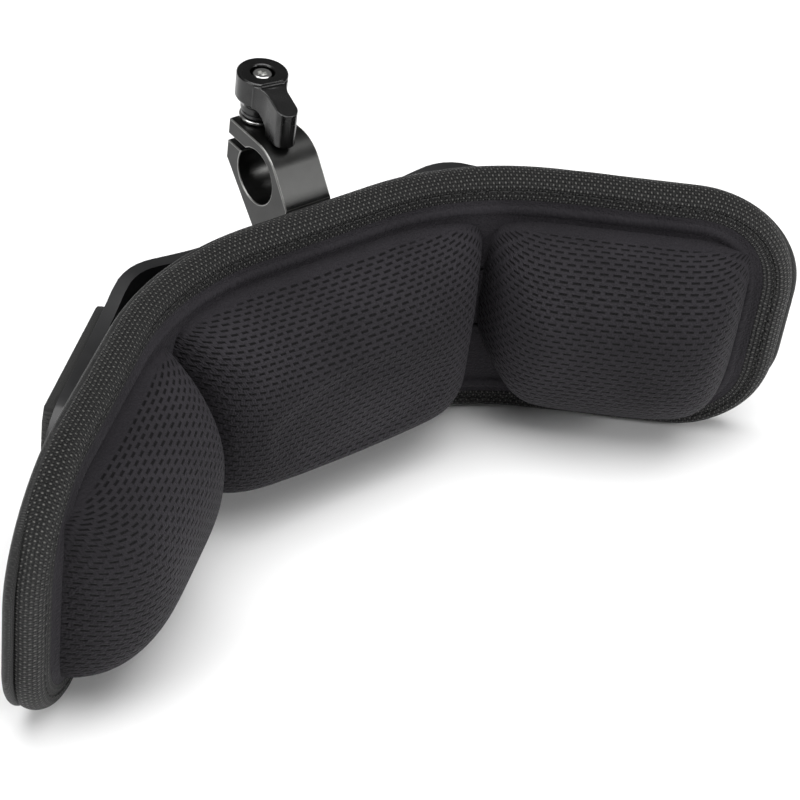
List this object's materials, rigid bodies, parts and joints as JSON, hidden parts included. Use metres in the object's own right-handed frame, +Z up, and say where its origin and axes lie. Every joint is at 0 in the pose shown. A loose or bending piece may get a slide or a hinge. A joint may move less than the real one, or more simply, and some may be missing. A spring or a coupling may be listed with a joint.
{
  "type": "camera rig body support pad",
  "caption": "Curved body support pad for a camera rig: padded mesh pillows on a bent plate, with a split rod clamp closed by a ratchet lever.",
  "frame": {"origin": "on the surface the pad stands on, under the middle of the bounding box", "axes": "+X along the middle of the pad, -Y the way the pillows face, +Z up from the pad's lower edge to its upper edge"},
  "size_m": [0.2376, 0.1048, 0.0957],
  "materials": {
    "mesh_cloth": "charcoal air mesh laminated on foam, rows of small slits",
    "foam": "open cell foam, hidden inside",
    "board": "thin plastic sheet, hidden inside",
    "back_cloth": "dark grey flat woven fabric",
    "woven_nylon": "coarse ribbed black webbing tape",
    "elastic": "grey ribbed elastic webbing",
    "tape": "hook and loop tape",
    "plate_paint": "satin black coated aluminium",
    "anodised": "bead blasted, dark anodised, bright chamfers",
    "lever_black": "black coated die casting, satin",
    "steel": "stainless steel",
    "dark_steel": "black oxide steel"
  },
  "bodies": {
    "support": {"front_flange": "mesh_cloth", "pillow_cover_left": "mesh_cloth", "pillow_cover_middle": "mesh_cloth", "pillow_cover_right": "mesh_cloth", "foam_core_left": "foam", "foam_core_middle": "foam", "foam_core_right": "foam", "stiffener_board": "board", "back_cover": "back_cloth", "edge_binding": "woven_nylon", "backing_plate": "plate_paint", "elastic_strap_left": "elastic", "elastic_strap_right": "elastic", "loop_tape_left": "tape", "loop_tape_right": "tape", "hook_tape_left": "tape", "hook_tape_right": "tape", "rod_clamp_body": "anodised", "clamp_screw_upper": "dark_steel", "clamp_screw_lower": "dark_steel"},
    "pinch_washer": {"pinch_washer": "steel"},
    "clamp_stud": {"threaded_hub": "dark_steel", "lever_cap_screw": "steel", "lever_spring": "steel"},
    "lever": {"lever_handle": "lever_black"}
  },
  "joints": [
    {"name": "stud_feed", "type": "slide", "parent": "support", "child": "pinch_washer", "axis": [0, 0, 1], "range_m": [0, 0.0007], "stiffness_N_per_m": 20, "springref_m": 0.0073},
    {"name": "lever_turn", "type": "hinge", "parent": "pinch_washer", "child": "clamp_stud", "pos_m": [0.006, 0.0458, 0.0824], "axis": [0, 0, 1], "range_deg": [0, 360]},
    {"name": "lever_lift", "type": "slide", "parent": "clamp_stud", "child": "lever", "axis": [0, 0, 1], "range_m": [0, 0.0025], "stiffness_N_per_m": 400, "springref_m": -0.002, "deforming": ["lever_spring"]}
  ],
  "couplings": [
    {"joint": "lever_turn", "follows": "stud_feed", "rad_per_m": 8975.5}
  ]
}
